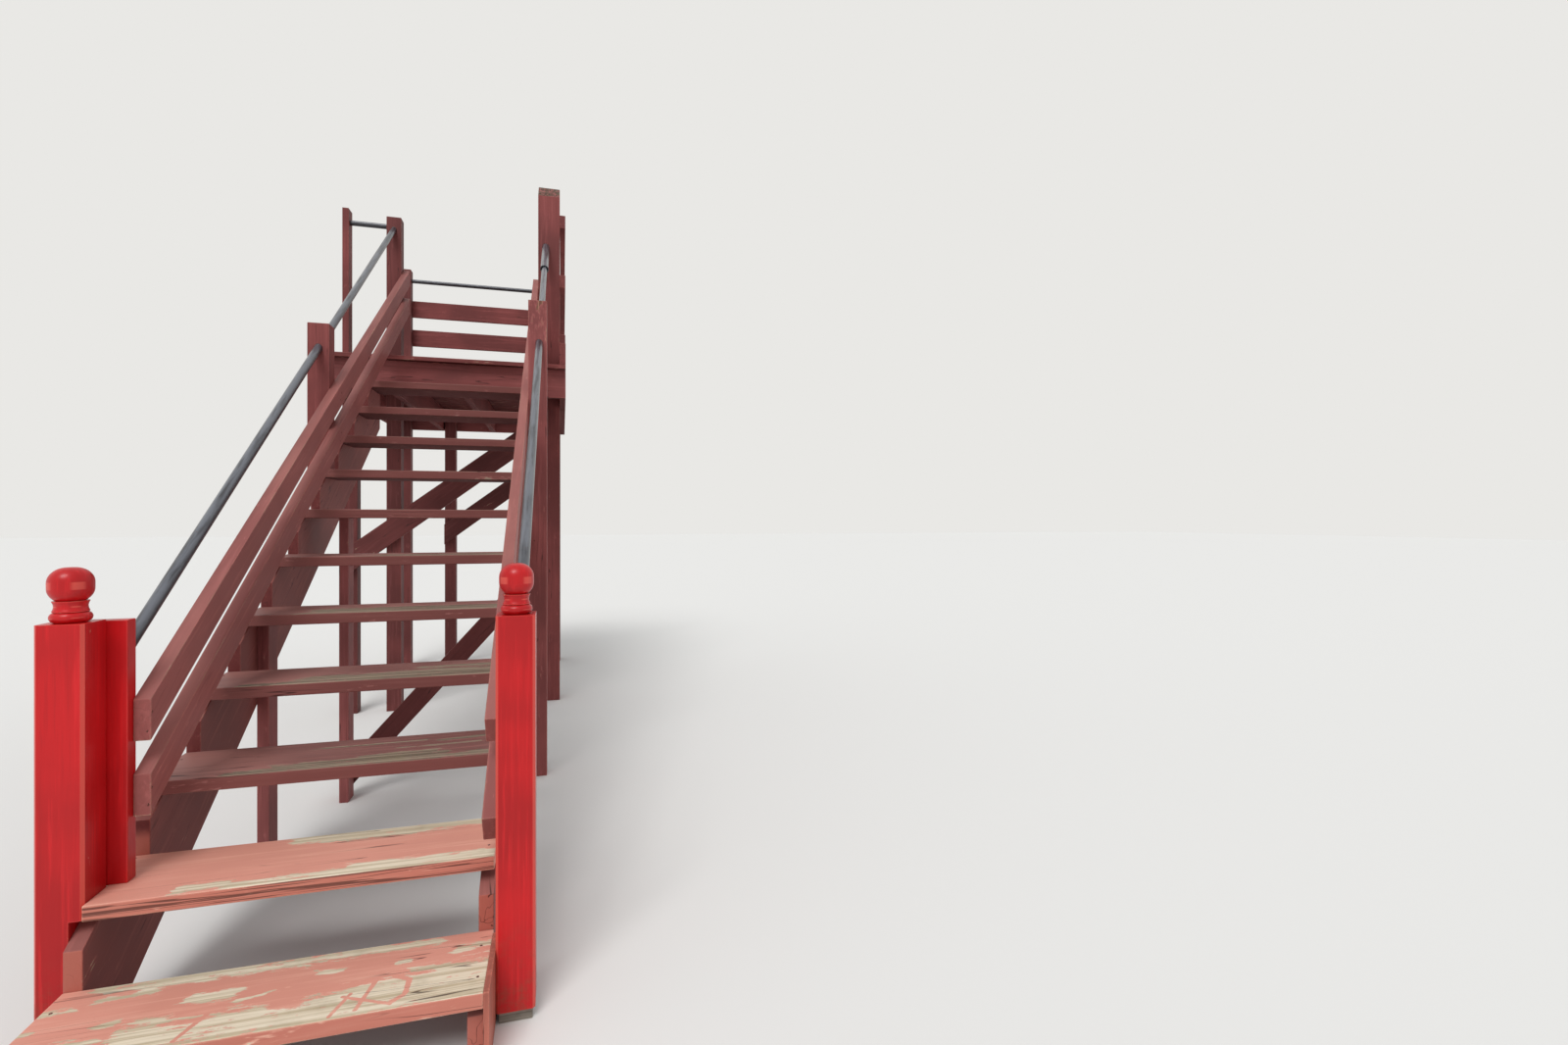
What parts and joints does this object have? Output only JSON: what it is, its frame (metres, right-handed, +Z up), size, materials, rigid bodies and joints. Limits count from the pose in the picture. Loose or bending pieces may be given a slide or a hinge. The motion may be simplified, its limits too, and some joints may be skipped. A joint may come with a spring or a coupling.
{
  "type": "timber fire escape stair",
  "caption": "Straight open-riser timber stair with turned newels, board rails and pipe handrails, rising to a raised landing on posts beside a wall.",
  "frame": {"origin": "on the ground, at the middle of the footprint", "axes": "+X away from the wall, +Y up the flight towards the far end of the landing, +Z up"},
  "size_m": [1.41, 5.367, 3.7],
  "materials": {
    "old_red_paint": "faded satin paint",
    "worn_red_paint": "worn paint over weathered boards",
    "bright_red_paint": "gloss paint",
    "bare_grey_wood": "weathered",
    "black_pipe": "worn black paint"
  },
  "bodies": {
    "root": {"stringer_left": "old_red_paint", "stringer_right": "old_red_paint", "tread_01": "worn_red_paint", "tread_02": "worn_red_paint", "tread_03": "worn_red_paint", "tread_04": "worn_red_paint", "tread_05": "worn_red_paint", "tread_06": "worn_red_paint", "tread_07": "worn_red_paint", "tread_08": "worn_red_paint", "tread_09": "worn_red_paint", "tread_10": "worn_red_paint", "tread_11": "worn_red_paint", "step_end_board": "old_red_paint", "newel_shoes": "bare_grey_wood", "newel_left": "bright_red_paint", "newel_right": "bright_red_paint", "newel_backing_post": "bright_red_paint", "mid_post_left": "old_red_paint", "mid_post_right": "old_red_paint", "landing_post_front_left": "old_red_paint", "landing_post_front_right": "old_red_paint", "landing_post_front_wall": "old_red_paint", "landing_post_back_left": "old_red_paint", "landing_post_back_right": "old_red_paint", "landing_post_back_wall": "old_red_paint", "wall_post": "old_red_paint", "rails_left": "old_red_paint", "rails_right": "old_red_paint", "handrail_pipe_left": "black_pipe", "handrail_pipe_right": "black_pipe", "pipe_sleeve": "black_pipe", "wall_gap_pipe": "black_pipe", "end_guard_pipe": "black_pipe", "side_guard_boards": "old_red_paint", "end_guard_rails": "old_red_paint", "deck_boards": "worn_red_paint", "landing_header": "old_red_paint", "landing_side_joist": "old_red_paint", "landing_end_joist": "old_red_paint", "wall_ledger": "old_red_paint", "landing_joists": "old_red_paint", "flight_legs": "old_red_paint", "flight_cross_brace": "old_red_paint", "landing_braces": "old_red_paint"}
  },
  "joints": []
}
